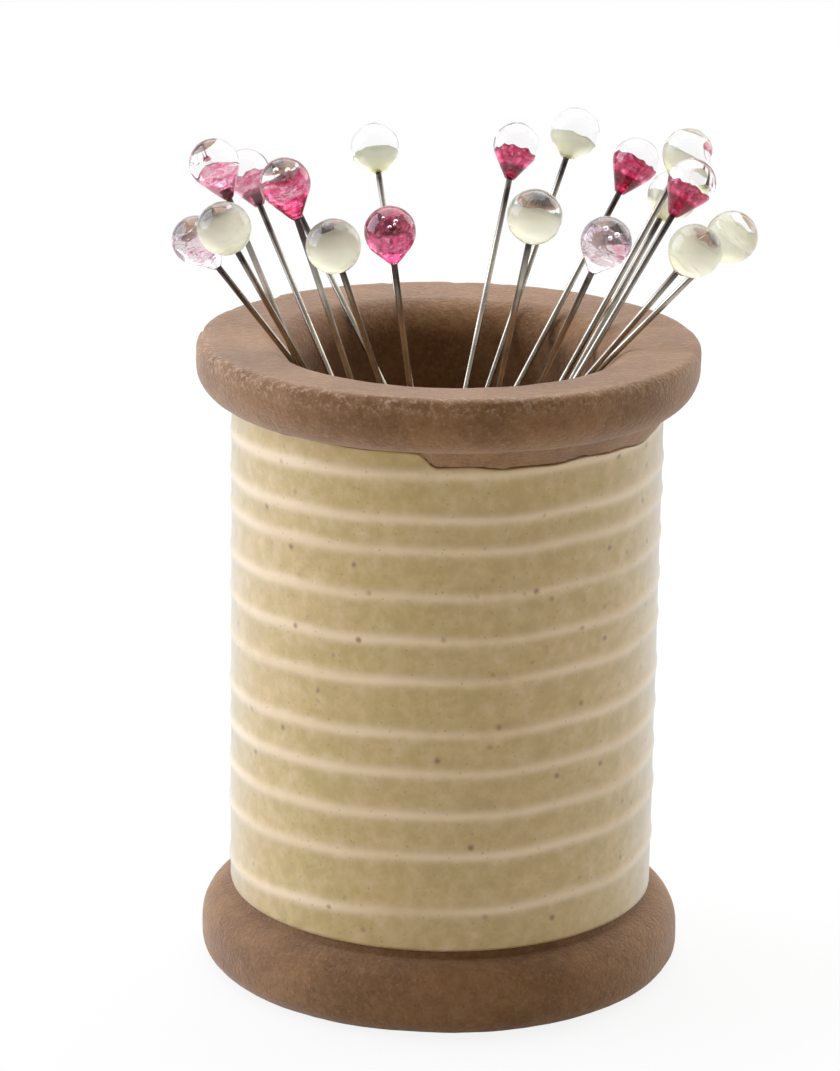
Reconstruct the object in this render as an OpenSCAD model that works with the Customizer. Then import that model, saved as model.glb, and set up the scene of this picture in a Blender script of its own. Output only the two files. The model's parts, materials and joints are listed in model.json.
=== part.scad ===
// Magnetic pin bowl shaped like a spool of thread.
// A stoneware spool has a well in its top, with a disc magnet on the well's floor.
// Glass-headed pins stand with their points on the magnet and lean on the well's rounded lip.
// Millimetres. The origin is the centre of the base, on the table, with +Z up and the front at -Y.

/* [Spool body] */
// Height from the table to the top of the rim
body_h = 58.2; // [56:0.2:62]
// Diameter of the rim
rim_d = 45; // [44:0.5:48]
// Height of the rim's flange
rim_flange_h = 5.4; // [5:0.1:7]
// Radius of the bevel under the rim
rim_bevel_r = 3.2; // [2.4:0.1:3.4]
// Radius of the rim's top edge
rim_edge_r = 0.8; // [0.4:0.1:1.2]
// Diameter of the clay barrel under its glaze
barrel_d = 38.1; // [36:0.1:38.4]
// Diameter of the base
base_d = 43.8; // [42:0.2:46]
// Height of the base's flange
base_flange_h = 6.6; // [6:0.1:8]
// Radius of the shoulder on top of the base
base_bevel_r = 3.2; // [2.4:0.1:3.6]
// Radius of the edge that the base stands on
foot_r = 1.9; // [1:0.1:2.2]

/* [Mouth and well] */
// Diameter of the well
throat_d = 28; // [27.4:0.1:28.6]
// Radius of the rounding from the rim into the well
lip_round_r = 3.2; // [2.8:0.1:3.6]
// Fall of the rim's top from its outer edge to that rounding
lip_fall = 0.3; // [0.1:0.1:0.5]
// Depth of the well below the rim
well_depth = 22; // [20:0.2:24]
// Radius between the well's wall and its floor
well_corner_r = 2; // [1:0.1:3]

/* [Hollow under the well] */
// Diameter of the hollow in the underside
hollow_d = 28; // [20:0.5:31]
// Thickness of clay between the well and the hollow
floor_t = 5.6; // [4:0.2:10]
// Radius at the top of the hollow
hollow_corner_r = 3; // [1:0.2:5]
// Bevel round the mouth of the hollow
hollow_edge = 0.8; // [0.4:0.1:1.5]

/* [Glaze] */
// Thickness of the glaze on the barrel
glaze_t = 0.25; // [0.15:0.01:0.3]
// Bare clay between the base's flange and the glaze
glaze_bare = 0.6; // [0.2:0.1:2]
// Radius of the roll at the glaze's lower edge
glaze_roll_r = 0.35; // [0.3:0.01:0.5]

/* [Magnet] */
// Diameter of the disc magnet
magnet_d = 16; // [15:0.5:20]
// Thickness of the disc magnet
magnet_t = 3; // [2.4:0.1:3.6]
// Bevel on the magnet's edges
magnet_edge = 0.3; // [0.1:0.05:0.6]
// Diameter of the spread of adhesive under the magnet
bond_d = 15; // [10:0.5:15]
// Thickness of the adhesive
bond_t = 0.2; // [0.1:0.05:0.4]

/* [Pins] */
// Length of a pin from its point to the centre of its head
pin_len = 39; // [38:0.2:40]
// Diameter of a pin's shaft
pin_d = 0.55; // [0.45:0.01:0.6]
// Length of the sharpened end
taper_len = 2.6; // [1.5:0.1:4]
// Diameter of the very point
point_d = 0.08; // [0.04:0.01:0.12]
// Length of shaft inside the head, past the head's centre
grip_len = 0.7; // [0.2:0.1:1.4]
// Diameter of a round cream head
cream_head_d = 4.7; // [4.2:0.05:4.75]
// Diameter of a drop-shaped rose head
rose_head_d = 4.4; // [4:0.05:4.5]
// Distance from a rose head's centre down to its neck
rose_neck_drop = 3.4; // [2.8:0.1:4]
// Distance from a cream head's centre down to its neck
cream_neck_drop = 2.65; // [2.5:0.05:3]
// Diameter of a head's neck
neck_d = 0.95; // [0.8:0.05:1.2]

/* [Clearances] */
// Gap between a pin's point and the magnet
point_gap = 0.1; // [0.05:0.01:0.2]
// Gap between a leaning pin and the lip
lip_gap = 0.1; // [0.05:0.01:0.2]
// Gap between two pins that cross
pin_gap = 0.12; // [0.05:0.01:0.15]
// Gap round a shaft inside its glass head
socket_gap = 0.01; // [0.005:0.005:0.02]
// Gap between the glaze and the clay
glaze_gap = 0.01; // [0.005:0.005:0.02]

/* [Hidden] */
$fn = 96;

rim_r = rim_d / 2;
barrel_r = barrel_d / 2;
base_r = base_d / 2;
throat_r = throat_d / 2;
hollow_r = hollow_d / 2;
glaze_r = barrel_r + glaze_t;

// Heights above the table
rim_low_z = body_h - rim_flange_h;
rim_band_z = rim_low_z + rim_bevel_r;
rim_edge_z = body_h - rim_edge_r;
well_floor_z = body_h - well_depth;
hollow_top_z = well_floor_z - floor_t;
magnet_z = well_floor_z + bond_t;
point_z = magnet_z + magnet_t + point_gap;

// The circle that the lip's rounding is struck from
lip_ring_r = throat_r + lip_round_r;
lip_ring_z = body_h - lip_fall - lip_round_r;

// Rows of [x, y, bearing, clear]: where a pin's point is to stand on the magnet, the way it
// leans, and how much further than the usual gap it stays off the lip
CREAM_PLACES = [
    [-4.5, 3, 230, 0], // front left
    [-1, 0.5, 105, 0.3], // back
    [-1, -1, 247, 0.5], // front, left of the middle
    [-0.5, 4.5, 54, 0], // back right
    [1.5, -5, 287, 0], // front, in the middle
    [3, 2.5, 23, 0.2], // right
    [2.5, -5.5, 47, 0], // right, leaning back
    [0.5, 1, 324, 0], // front right
    [-1.5, -0.5, 355, 0] // far right
];
ROSE_PLACES = [
    [-6.5, -2, 205, 0], // far left
    [-3.5, -6, 129, 1.2], // back left
    [-3, -6.5, 223, 0], // front left, upright
    [-1.5, -3.5, 259, 0], // front, in the middle
    [-2.5, 6.5, 221, 0], // left, lowest
    [-1, 1.5, 72, 0.3], // back, right of the middle
    [-0.5, 2.5, 41, 0], // back right
    [1.5, -2, 301, 0], // front, right of the middle
    [2, -6, 28, 1.6], // right, steep
    [1.5, -1, 130, 0] // back left, behind the others
];

// Stretch of its own axis that a pin goes over as it is drawn out
sweep_len = 2 * pin_len;

// A standing pin is [point, direction, bearing, lean]
function pin_spot(pin, t) = pin[0] + t * pin[1];

// Distance from a spot to the circle that the lip is struck from
function lip_distance(spot) = norm([norm([spot.x, spot.y]) - lip_ring_r, spot.z - lip_ring_z]);

// Whether a pin passes inside the lip and keeps a given distance from that circle
function clears_lip(pin, distance) =
    let (t = (lip_ring_z - point_z) / pin[1].z, level = pin_spot(pin, t))
    norm([level.x, level.y]) < lip_ring_r
    && min([for (k = [-1 : 0.25 : 6]) lip_distance(pin_spot(pin, t + k))]) > distance;

// A pin leaning from upright by a given angle, its point moved from its place by an offset
function leaning_pin(place, offset, lean) = [
    [place.x + offset.x, place.y + offset.y, point_z],
    [sin(lean) * cos(place[2]), sin(lean) * sin(place[2]), cos(lean)],
    place[2],
    lean
];

// The same pin let down until it rests against the lip
function resting_pin(place, offset, low = 1, high = 70, steps = 16) =
    let (middle = leaning_pin(place, offset, (low + high) / 2))
    steps == 0 ? leaning_pin(place, offset, low) :
    clears_lip(middle, lip_round_r + pin_d / 2 + lip_gap + place[3])
    ? resting_pin(place, offset, middle[3], high, steps - 1)
    : resting_pin(place, offset, low, middle[3], steps - 1);

// Distance along a pin's axis of the spot on it that is nearest to another spot
function along_pin(pin, spot) = max(0, min(sweep_len, (spot - pin[0]) * pin[1]));

// Nearest that the axes of two pins come to each other, drawn out or not
function axis_gap(a, b) =
    let (
        apart = b[0] - a[0],
        cosine = a[1] * b[1],
        crossing = (apart * a[1] - cosine * (apart * b[1])) / max(1 - cosine * cosine, 0.0001),
        on_a = pin_spot(a, max(0, min(sweep_len, crossing))),
        on_b = pin_spot(b, along_pin(b, on_a))
    )
    norm(pin_spot(a, along_pin(a, on_b)) - on_b);

// Whether one pin's head stays clear of another pin, drawn out or not
function head_clears(a, b) =
    let (
        head = pin_spot(a, pin_len),
        t = along_pin(b, head),
        beside = t > pin_len - rose_neck_drop ? cream_head_d / 2 : pin_d / 2
    )
    norm(head - pin_spot(b, t)) > cream_head_d / 2 + beside + pin_gap;

// Nearest that the heads of two pins come to each other as both are drawn out together
function heads_apart(a, b) = min([for (t = [pin_len : 2 : sweep_len + 2]) norm(pin_spot(a, t) - pin_spot(b, t))]);

function pins_clear(a, b) =
    axis_gap(a, b) > pin_d + pin_gap
    && head_clears(a, b)
    && head_clears(b, a)
    && heads_apart(a, b) > cream_head_d + pin_gap;

// Whether a pin's point is on the magnet and the pin is clear of all that were put in before it
function fits_in(pin, others) =
    norm([pin[0].x, pin[0].y]) < magnet_d / 2 - magnet_edge
    && len([for (other = others) if (!pins_clear(pin, other)) other]) == 0;

// A pin put in at its place, or at the nearest spot on a small spiral round it where it fits in
function put_in(place, others, try = 0) =
    let (
        offset = spiral_step * sqrt(try) * [cos(try * spiral_turn), sin(try * spiral_turn)],
        pin = resting_pin(place, offset)
    )
    try == spiral_tries || fits_in(pin, others) ? pin : put_in(place, others, try + 1);

// The pins put in one after another
function put_in_all(places, pins = []) =
    len(pins) == len(places) ? pins : put_in_all(places, concat(pins, [put_in(places[len(pins)], pins)]));

spiral_step = 0.1;
spiral_turn = 137.5;
spiral_tries = 80;
PINS = put_in_all(concat(CREAM_PLACES, ROSE_PLACES));
CREAM = [for (i = [1 : len(CREAM_PLACES)]) i];
ROSE = [for (i = [1 : len(ROSE_PLACES)]) i];

// Section of the flange that the spool stands on
module base_section() {
    square([base_r - foot_r, base_flange_h - base_bevel_r]);
    translate([0, foot_r])
        square([base_r, base_flange_h - base_bevel_r - foot_r]);
    translate([base_r - foot_r, foot_r])
        circle(foot_r);
    square([base_r - base_bevel_r, base_flange_h]);
    translate([base_r - base_bevel_r, base_flange_h - base_bevel_r])
        circle(base_bevel_r);
}

// Section of the rim, with its bevel below and its top falling gently to the lip
module rim_section() {
    translate([0, rim_low_z])
        square([rim_r - rim_bevel_r, rim_bevel_r]);
    intersection() {
        translate([rim_r - rim_bevel_r, rim_band_z])
            circle(rim_bevel_r);
        square([rim_r, rim_band_z]);
    }
    translate([0, rim_band_z])
        square([rim_r, rim_edge_z - rim_band_z]);
    translate([rim_r - rim_edge_r, rim_edge_z])
        circle(rim_edge_r);
    polygon([
        [0, rim_edge_z],
        [rim_r - rim_edge_r, rim_edge_z],
        [rim_r - rim_edge_r, body_h],
        [lip_ring_r, body_h - lip_fall],
        [0, body_h - lip_fall]
    ]);
}

// What is left standing in a corner so that it is rounded; the corner is at the origin
module corner_fill(radius) {
    difference() {
        translate([-radius, 0])
            square(radius);
        translate([-radius, radius])
            circle(radius);
    }
}

// Section of the well, opened out to the lip's rounding
module well_section() {
    difference() {
        translate([0, well_floor_z])
            square([throat_r, body_h]);
        translate([throat_r, well_floor_z])
            corner_fill(well_corner_r);
    }
    difference() {
        translate([0, lip_ring_z])
            square([lip_ring_r, body_h]);
        translate([lip_ring_r, lip_ring_z])
            circle(lip_round_r);
    }
}

// Section of the hollow in the underside
module hollow_section() {
    difference() {
        translate([0, -1])
            square([hollow_r, hollow_top_z + 1]);
        translate([hollow_r, hollow_top_z])
            mirror([0, 1])
                corner_fill(hollow_corner_r);
    }
    polygon([
        [0, -hollow_edge],
        [hollow_r + 2 * hollow_edge, -hollow_edge],
        [hollow_r, hollow_edge],
        [0, hollow_edge]
    ]);
}

module spool_body() {
    color("#94745c")
        rotate_extrude()
            difference() {
                union() {
                    base_section();
                    square([barrel_r, rim_band_z]);
                    rim_section();
                }
                well_section();
                hollow_section();
            }
}

// Glaze on the barrel, from the bare clay above the base up to the rim, with a rolled lower edge
module barrel_glaze() {
    low_z = base_flange_h + glaze_bare;
    inner_r = barrel_r + glaze_gap;
    color("#d9cfb0")
        rotate_extrude()
            intersection() {
                union() {
                    translate([0, low_z + glaze_roll_r])
                        square([glaze_r, rim_low_z - glaze_gap - low_z - glaze_roll_r]);
                    translate([inner_r, low_z + glaze_roll_r])
                        circle(glaze_roll_r);
                }
                translate([inner_r, 0])
                    square([rim_r, body_h]);
            }
}

module magnet() {
    color("#b9bcc0")
        translate([0, 0, magnet_z]) {
            cylinder(h = magnet_edge, r1 = magnet_d / 2 - magnet_edge, r2 = magnet_d / 2);
            translate([0, 0, magnet_edge])
                cylinder(h = magnet_t - 2 * magnet_edge, d = magnet_d);
            translate([0, 0, magnet_t - magnet_edge])
                cylinder(h = magnet_edge, r1 = magnet_d / 2, r2 = magnet_d / 2 - magnet_edge);
        }
}

module magnet_bond() {
    color("#8d8f86")
        translate([0, 0, well_floor_z])
            cylinder(h = bond_t, d = bond_d);
}

// Stands what follows on the magnet as a pin stands, with its axis on +Z and its point at the origin
module as_pin(pin) {
    translate(pin[0])
        rotate([0, pin[3], pin[2]])
            children();
}

// Steel shaft, sharpened at its lower end
module shaft(pin) {
    color("#c3c2bd")
        as_pin(pin) {
            cylinder(h = taper_len, d1 = point_d, d2 = pin_d, $fn = 32);
            translate([0, 0, taper_len])
                cylinder(h = pin_len + grip_len - taper_len, d = pin_d, $fn = 32);
        }
}

// The blind hole in a glass head that the shaft is fused into
module socket(neck_drop) {
    translate([0, 0, -neck_drop - 1])
        cylinder(h = neck_drop + 1 + grip_len + socket_gap, d = pin_d + 2 * socket_gap, $fn = 32);
}

// Angle below level, seen from a ball's centre, at which a cone up from the neck meets the ball
function meet_angle(ball_r, neck_drop) =
    acos(ball_r / norm([neck_d / 2, neck_drop])) - atan2(neck_drop, neck_d / 2);

// Glass ball that runs down in a cone to the neck
module glass_head(pin, head_d, neck_drop) {
    ball_r = head_d / 2;
    angle = meet_angle(ball_r, neck_drop);
    cone_h = neck_drop + ball_r * sin(angle);
    as_pin(pin)
        translate([0, 0, pin_len])
            difference() {
                union() {
                    sphere(ball_r);
                    translate([0, 0, -neck_drop])
                        cylinder(h = cone_h, r1 = neck_d / 2, r2 = ball_r * cos(angle));
                }
                socket(neck_drop);
            }
}

module cream_head(pin) {
    color("#ecead2")
        glass_head(pin, cream_head_d, cream_neck_drop);
}

module rose_head(pin) {
    color("#c8446a")
        glass_head(pin, rose_head_d, rose_neck_drop);
}

spool_body();
barrel_glaze();
magnet();
magnet_bond();
for (i = CREAM) {
    shaft(PINS[i - 1]);
    cream_head(PINS[i - 1]);
}
for (i = ROSE) {
    shaft(PINS[len(CREAM) + i - 1]);
    rose_head(PINS[len(CREAM) + i - 1]);
}
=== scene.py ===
import json
import math

import bpy
import numpy as np
from mathutils import Matrix, Vector, noise


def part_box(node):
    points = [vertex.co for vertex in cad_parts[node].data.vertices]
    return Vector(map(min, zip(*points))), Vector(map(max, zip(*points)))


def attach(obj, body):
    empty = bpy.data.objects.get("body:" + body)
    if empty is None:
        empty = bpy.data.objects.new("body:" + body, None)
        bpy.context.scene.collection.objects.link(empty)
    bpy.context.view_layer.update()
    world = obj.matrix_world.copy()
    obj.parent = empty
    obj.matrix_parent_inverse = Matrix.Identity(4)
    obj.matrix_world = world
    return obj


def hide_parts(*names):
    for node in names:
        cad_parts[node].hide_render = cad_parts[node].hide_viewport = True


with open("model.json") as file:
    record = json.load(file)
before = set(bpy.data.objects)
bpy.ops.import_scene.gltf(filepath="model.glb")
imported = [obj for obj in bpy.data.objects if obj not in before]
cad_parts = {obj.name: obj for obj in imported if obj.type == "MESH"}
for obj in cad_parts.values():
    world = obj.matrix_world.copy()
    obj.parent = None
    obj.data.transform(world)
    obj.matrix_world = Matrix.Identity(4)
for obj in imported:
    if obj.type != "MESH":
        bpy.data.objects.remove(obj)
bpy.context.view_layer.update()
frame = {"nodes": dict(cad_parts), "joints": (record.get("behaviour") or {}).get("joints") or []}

bl_info = {
    "name": "Magnetic Pin Bowl",
    "version": (1, 0, 0),
    "blender": (4, 5, 0),
    "location": "3D View > Sidebar > Pin Bowl",
    "description": "A stoneware spool with a glazed barrel that holds glass-headed pins on a magnet",
    "category": "Add Mesh",
}

MM = 0.001

# Sizes that come from the fixed frame
_, SPOOL_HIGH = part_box("spool_body")
GLAZE_LOW, GLAZE_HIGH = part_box("barrel_glaze")
BOND_LOW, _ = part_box("magnet_bond")
BODY_HEIGHT = SPOOL_HIGH.z
RIM_RADIUS = SPOOL_HIGH.x
WELL_FLOOR = BOND_LOW.z
GLAZE_GAP = 0.01 * MM
RIM_LOW = GLAZE_HIGH.z + GLAZE_GAP

# Sizes of the spool's and the pins' details
WELL_CORNER = 2 * MM
HOLLOW_CORNER = 3 * MM
HOLLOW_EDGE = 0.8 * MM
GLAZE_ROLL = 0.35 * MM
TAPER_LENGTH = 2.6 * MM
CREAM_RADIUS, CREAM_DROP = 2.35 * MM, 2.65 * MM
ROSE_RADIUS, ROSE_DROP = 2.2 * MM, 3.4 * MM

# Points nearer the axis than this are inside the spool's wall
INSIDE_WALL = 17 * MM

# Height from which the glaze is drawn down to make room for the rim's lap
LAP_FROM = 46 * MM

# Direction round the rim in which it is chipped most
FRONT_LEFT = math.radians(-128)

# The clear shells are a little smaller than the heads, which leaves room for their ripple
SHELL_PLAY = 0.03 * MM
RIPPLE_SIZE, RIPPLE_RISE = 1.3 * MM, 0.05 * MM

# Air bubbles: radius, distance from the pin's axis, height above the head's centre, and each
# one's size as a share of the last one's
BUBBLE_RADIUS, BUBBLE_RING, BUBBLE_HEIGHT, BUBBLE_SHRINK = 0.2 * MM, 0.45 * MM, 0.8 * MM, 0.9

# Steps round a head and a shaft, and the turn in radians from one head or bubble to the next
HEAD_SEGMENTS, SHAFT_SEGMENTS = 56, 24
NEXT_TURN = 2.4

# The photograph's camera
PHOTO_WIDTH, PHOTO_HEIGHT = 840, 1071
FOCAL_PIXELS = 4253.4
CAMERA_PLACE = (-2.3 * MM, -367.8 * MM, 148.9 * MM)
CAMERA_PITCH = math.radians(16.53)
CAMERA_ROLL = math.radians(0.9)

# Soft lamps: name, place, side in metres, brightness and colour
LAMPS = (
    ("left_softbox", (-0.5, 0.08, 0.28), 0.5, 3.7, (0.92, 0.97, 1.12)),
    ("right_softbox", (0.45, 0.32, 0.3), 0.4, 2.5, (1.0, 0.97, 0.93)),
    ("top_softbox", (0.0, 0.27, 0.6), 0.7, 2.5, (0.97, 0.98, 1.0)),
)

# The floor's side in metres, how plain a white it is near the bowl, where its shadow shows, and how
# far from the bowl it starts to turn plain white and is so altogether
FLOOR_SIDE = 8
FLOOR_WHITE = 0.87
SHADOW_REACH, WHITE_REACH = 0.3, 0.8

# Heights at the front, in millimetres, of the pale line's turns round the barrel
LINE_HEIGHTS = (5.6, 11.0, 16.2, 20.0, 23.9, 27.5, 32.3, 36.0, 40.0, 44.1, 46.9, 50.9, 55.0)

PINS = [joint["child"] for joint in frame["joints"]]
PALE_ROSE = ("rose_pin_1", "rose_pin_2")
STREAKED_ROSE = ("rose_pin_5", "rose_pin_8")
DEEP_ROSE = ("rose_pin_4",)

# How high above its head's centre a pin's coloured glass and its shaft end, in millimetres
HEADS = {
    "cream_pin_1": (-1.0, -2.2),
    "cream_pin_2": (-0.75, -2.2),
    "cream_pin_3": (-1.2, -2.2),
    "cream_pin_4": (-0.6, -2.2),
    "cream_pin_5": (-1.15, -2.2),
    "cream_pin_6": (-0.1, -2.2),
    "cream_pin_7": (-0.7, -2.2),
    "cream_pin_8": (-0.75, -2.2),
    "cream_pin_9": (0, -2.2),
    "rose_pin_1": (-0.75, -2.0),
    "rose_pin_2": (-0.7, -2.0),
    "rose_pin_3": (-0.6, -3.2),
    "rose_pin_4": (0.9, -3.2),
    "rose_pin_5": (-0.9, -3.2),
    "rose_pin_6": (-0.85, -3.2),
    "rose_pin_7": (-0.2, -3.2),
    "rose_pin_8": (-1.1, -3.2),
    "rose_pin_9": (-0.5, -3.2),
    "rose_pin_10": (-0.8, -3.2),
}

# Pins with air bubbles in their clear glass, and how many
BUBBLES = {"rose_pin_3": 2, "rose_pin_4": 7, "rose_pin_8": 3}


class PinBowlSizes(bpy.types.PropertyGroup):
    """Sizes of what is modelled here, which the frame doesn't give"""

    segments: bpy.props.IntProperty(
        name="Segments", description="Steps round a turned piece", default=240, min=24, max=512
    )
    base_radius: bpy.props.FloatProperty(
        name="Base Radius",
        description="Radius of the base",
        default=21.9 * MM,
        unit="LENGTH",
        precision=5,
    )
    base_height: bpy.props.FloatProperty(
        name="Base Height",
        description="Height of the base's flange",
        default=6.6 * MM,
        unit="LENGTH",
        precision=5,
    )
    foot_round: bpy.props.FloatProperty(
        name="Foot Rounding",
        description="Radius of the lowest edge",
        default=1.9 * MM,
        unit="LENGTH",
        precision=5,
    )
    flange_round: bpy.props.FloatProperty(
        name="Flange Rounding",
        description="Radius of the bevels on the base and under the rim",
        default=3.2 * MM,
        unit="LENGTH",
        precision=5,
    )
    barrel_radius: bpy.props.FloatProperty(
        name="Barrel Radius",
        description="Radius of the bare clay barrel",
        default=19.05 * MM,
        unit="LENGTH",
        precision=5,
    )
    rim_edge: bpy.props.FloatProperty(
        name="Rim Edge",
        description="Radius of the rim's top edge",
        default=0.8 * MM,
        unit="LENGTH",
        precision=5,
    )
    well_radius: bpy.props.FloatProperty(
        name="Well Radius",
        description="Radius of the well and of the hollow",
        default=14 * MM,
        unit="LENGTH",
        precision=5,
    )
    lip_round: bpy.props.FloatProperty(
        name="Lip Rounding",
        description="Radius from the rim into the well",
        default=3.2 * MM,
        unit="LENGTH",
        precision=5,
    )
    lip_fall: bpy.props.FloatProperty(
        name="Lip Fall",
        description="Fall of the rim's top towards the well",
        default=0.3 * MM,
        unit="LENGTH",
        precision=5,
    )
    clay_thickness: bpy.props.FloatProperty(
        name="Floor Thickness",
        description="Clay under the well",
        default=5.6 * MM,
        unit="LENGTH",
        precision=5,
    )
    glaze_thickness: bpy.props.FloatProperty(
        name="Glaze Thickness",
        description="Glaze over the barrel",
        default=0.25 * MM,
        unit="LENGTH",
        precision=5,
    )
    line_rise: bpy.props.FloatProperty(
        name="Line Rise",
        description="How far the pale line stands out",
        default=0.13 * MM,
        unit="LENGTH",
        precision=5,
    )
    line_spread: bpy.props.FloatProperty(
        name="Line Spread",
        description="Half of the pale line's soft width",
        default=0.55 * MM,
        unit="LENGTH",
        precision=5,
    )
    shaft_length: bpy.props.FloatProperty(
        name="Shaft Length",
        description="Pin's point to its head's centre",
        default=39 * MM,
        unit="LENGTH",
        precision=5,
    )
    shaft_radius: bpy.props.FloatProperty(
        name="Shaft Radius",
        description="Radius of a pin's shaft",
        default=0.275 * MM,
        unit="LENGTH",
        precision=5,
    )
    neck_radius: bpy.props.FloatProperty(
        name="Neck Radius",
        description="Radius of a head where it grips the shaft",
        default=0.475 * MM,
        unit="LENGTH",
        precision=5,
    )
    glass_skin: bpy.props.FloatProperty(
        name="Clear Skin",
        description="Clear glass over the coloured core",
        default=0.12 * MM,
        unit="LENGTH",
        precision=5,
    )


class PinBowlColours(bpy.types.PropertyGroup):
    """Colours of the finishes"""

    clay: bpy.props.FloatVectorProperty(
        name="Clay",
        description="Fired stoneware",
        subtype="COLOR",
        size=4,
        default=(0.245, 0.115, 0.036, 1),
    )
    clay_dark: bpy.props.FloatVectorProperty(
        name="Dark Clay",
        description="Darker grains and patches",
        subtype="COLOR",
        size=4,
        default=(0.16, 0.069, 0.018, 1),
    )
    clay_pale: bpy.props.FloatVectorProperty(
        name="Pale Clay",
        description="Paler grains and rubbed edges",
        subtype="COLOR",
        size=4,
        default=(0.4, 0.225, 0.105, 1),
    )
    glaze: bpy.props.FloatVectorProperty(
        name="Glaze",
        description="Glaze between the lines",
        subtype="COLOR",
        size=4,
        default=(0.535, 0.35, 0.098, 1),
    )
    glaze_green: bpy.props.FloatVectorProperty(
        name="Greenish Glaze",
        description="Patches of thicker glaze",
        subtype="COLOR",
        size=4,
        default=(0.485, 0.33, 0.072, 1),
    )
    glaze_line: bpy.props.FloatVectorProperty(
        name="Pale Line",
        description="The line wound round the barrel",
        subtype="COLOR",
        size=4,
        default=(0.82, 0.62, 0.38, 1),
    )
    speck: bpy.props.FloatVectorProperty(
        name="Speck",
        description="Iron specks in the glaze",
        subtype="COLOR",
        size=4,
        default=(0.17, 0.06, 0.004, 1),
    )
    steel: bpy.props.FloatVectorProperty(
        name="Steel", description="Pin shafts", subtype="COLOR", size=4, default=(0.44, 0.4, 0.34, 1)
    )
    # Painted dark reflection: the colour the shaft is painted near its head, for the dark room it mirrors
    painted_dark_reflection: bpy.props.FloatVectorProperty(
        name="Painted Dark Reflection",
        description="Shaft near its head",
        subtype="COLOR",
        size=4,
        default=(0.06, 0.045, 0.04, 1),
    )
    cream: bpy.props.FloatVectorProperty(
        name="Cream Glass",
        description="Opaque cream core",
        subtype="COLOR",
        size=4,
        default=(0.99, 0.975, 0.82, 1),
    )
    cream_neck: bpy.props.FloatVectorProperty(
        name="Cream Neck",
        description="Cream core near the neck",
        subtype="COLOR",
        size=4,
        default=(0.95, 0.95, 0.52, 1),
    )
    rose: bpy.props.FloatVectorProperty(
        name="Rose Glass",
        description="Coloured core of a rose head",
        subtype="COLOR",
        size=4,
        default=(0.9, 0.09, 0.27, 1),
    )
    rose_dark: bpy.props.FloatVectorProperty(
        name="Dark Rose",
        description="Deep streaks in the rose core",
        subtype="COLOR",
        size=4,
        default=(0.5, 0.012, 0.08, 1),
    )
    rose_pale: bpy.props.FloatVectorProperty(
        name="Pale Rose",
        description="Core of the paler rose heads",
        subtype="COLOR",
        size=4,
        default=(0.96, 0.55, 0.65, 1),
    )


# Mesh helpers


def deselect_all():
    """Nothing is left selected or active"""
    if bpy.context.object and bpy.context.object.mode != "OBJECT":
        bpy.ops.object.mode_set(mode="OBJECT")
    bpy.ops.object.select_all(action="DESELECT")


def arc(centre, radius, start, end, steps):
    """Points of a round stretch of an outline, as (distance from the axis, height)"""
    angles = [math.radians(start + (end - start) * k / steps) for k in range(steps + 1)]
    return [(centre[0] + radius * math.cos(a), centre[1] + radius * math.sin(a)) for a in angles]


def divided(outline, spacing):
    """The outline with its long stretches cut into even steps"""
    points = [outline[0]]
    for a, b in zip(outline, outline[1:]):
        steps = max(1, math.ceil(math.dist(a, b) / spacing))
        run, rise = b[0] - a[0], b[1] - a[1]
        points += [(a[0] + run * k / steps, a[1] + rise * k / steps) for k in range(1, steps + 1)]
    return points


def turned(name, outline, segments, ring=False):
    """A piece turned on the Z axis from an outline that runs from axis to axis, or closes on itself"""
    deselect_all()
    bpy.ops.mesh.primitive_plane_add(size=MM, location=(0, 0, 0))
    piece = bpy.context.object
    piece.name = piece.data.name = name
    bpy.ops.object.mode_set(mode="EDIT")
    bpy.ops.mesh.select_mode(type="VERT")
    bpy.ops.mesh.select_all(action="DESELECT")
    bpy.ops.object.mode_set(mode="OBJECT")
    for vertex in piece.data.vertices:
        vertex.select = vertex.index != 0
    bpy.ops.object.mode_set(mode="EDIT")
    bpy.ops.mesh.delete(type="VERT")
    bpy.ops.mesh.select_all(action="SELECT")
    corner = piece.matrix_world @ Vector((-MM / 2, -MM / 2, 0))
    first = Vector((outline[0][0], 0, outline[0][1]))
    bpy.ops.transform.translate(value=first - corner)
    for a, b in zip(outline, outline[1:]):
        step = (b[0] - a[0], 0, b[1] - a[1])
        bpy.ops.mesh.extrude_vertices_move(TRANSFORM_OT_translate={"value": step})
    if ring:
        step = (outline[0][0] - outline[-1][0], 0, outline[0][1] - outline[-1][1])
        bpy.ops.mesh.extrude_vertices_move(TRANSFORM_OT_translate={"value": step})
    bpy.ops.mesh.select_all(action="SELECT")
    bpy.ops.mesh.spin(steps=segments, angle=2 * math.pi, center=(0, 0, 0), axis=(0, 0, 1))
    bpy.ops.mesh.select_all(action="SELECT")
    bpy.ops.mesh.remove_doubles(threshold=0.002 * MM)
    bpy.ops.mesh.select_all(action="SELECT")
    bpy.ops.mesh.normals_make_consistent(inside=False)
    bpy.ops.object.mode_set(mode="OBJECT")
    bpy.ops.object.shade_smooth()
    return piece


def places(piece):
    """The piece's points as an array"""
    points = np.zeros(len(piece.data.vertices) * 3)
    piece.data.vertices.foreach_get("co", points)
    return points.reshape(-1, 3)


def set_places(piece, points):
    """Moves the piece's points to those of an array"""
    piece.data.vertices.foreach_set("co", points.ravel())
    piece.data.update()


def paint(piece, name, values):
    """Keeps a value for each of the piece's points, which its finish reads"""
    kept = piece.data.attributes.new(name, "FLOAT", "POINT")
    kept.data.foreach_set("value", np.asarray(values, np.float32))


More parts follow.
